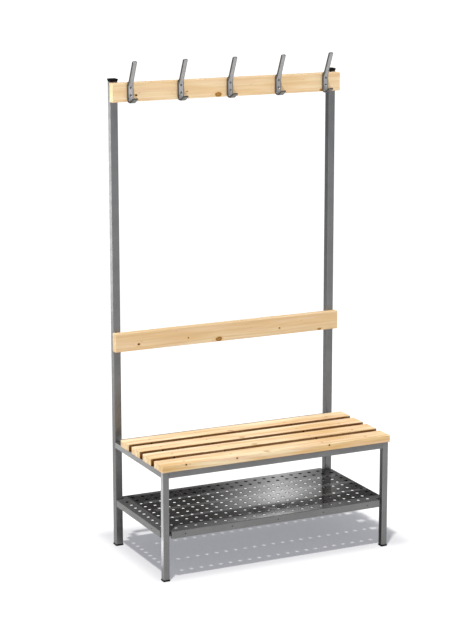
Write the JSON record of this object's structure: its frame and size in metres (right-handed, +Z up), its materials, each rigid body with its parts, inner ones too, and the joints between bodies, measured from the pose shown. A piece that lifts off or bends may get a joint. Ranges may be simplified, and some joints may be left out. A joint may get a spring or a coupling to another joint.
{
  "type": "changing room bench",
  "caption": "Free-standing changing room bench with slatted wooden seat, perforated shoe shelf, back board and a board of double coat hooks on a square-tube steel frame.",
  "frame": {"origin": "on the floor, below the middle of the whole bench", "axes": "+X along the bench to its right as seen from the front, -Y to the front where a person sits, +Z up"},
  "size_m": [1, 0.5128, 1.9699],
  "materials": {
    "wood": "clear satin varnish on planed pale softwood",
    "frame": "silver-grey powder coat, semi-gloss",
    "shelf": "silver-grey powder coat, semi-gloss",
    "plastic": "moulded black, satin",
    "hook": "satin grey cast metal",
    "fastener": "zinc plated"
  },
  "bodies": {
    "root": {"rear_post_left": "frame", "rear_post_right": "frame", "front_leg_left": "frame", "front_leg_right": "frame", "seat_rail_front": "frame", "seat_rail_rear": "frame", "seat_rail_left": "frame", "seat_rail_right": "frame", "shoe_shelf": "shelf", "foot_front_left": "plastic", "foot_front_right": "plastic", "foot_rear_left": "plastic", "foot_rear_right": "plastic", "post_cap_left": "plastic", "post_cap_right": "plastic", "hook_rail": "wood", "back_rail": "wood", "seat_slat_1": "wood", "seat_slat_2": "wood", "seat_slat_3": "wood", "seat_slat_4": "wood", "coat_hook_1": "hook", "coat_hook_2": "hook", "coat_hook_3": "hook", "coat_hook_4": "hook", "coat_hook_5": "hook", "hook_screw_1_upper": "fastener", "hook_screw_1_lower": "fastener", "hook_screw_2_upper": "fastener", "hook_screw_2_lower": "fastener", "hook_screw_3_upper": "fastener", "hook_screw_3_lower": "fastener", "hook_screw_4_upper": "fastener", "hook_screw_4_lower": "fastener", "hook_screw_5_upper": "fastener", "hook_screw_5_lower": "fastener", "hook_rail_screw_left_upper": "fastener", "hook_rail_screw_left_lower": "fastener", "hook_rail_screw_right_upper": "fastener", "hook_rail_screw_right_lower": "fastener", "back_rail_screw_left_upper": "fastener", "back_rail_screw_left_lower": "fastener", "back_rail_screw_right_upper": "fastener", "back_rail_screw_right_lower": "fastener", "slat_screw_left_1": "fastener", "slat_screw_left_2": "fastener", "slat_screw_left_3": "fastener", "slat_screw_left_4": "fastener", "slat_screw_right_1": "fastener", "slat_screw_right_2": "fastener", "slat_screw_right_3": "fastener", "slat_screw_right_4": "fastener", "shelf_bolt_front_left": "fastener", "shelf_bolt_front_right": "fastener", "shelf_bolt_rear_left": "fastener", "shelf_bolt_rear_right": "fastener"}
  },
  "joints": []
}
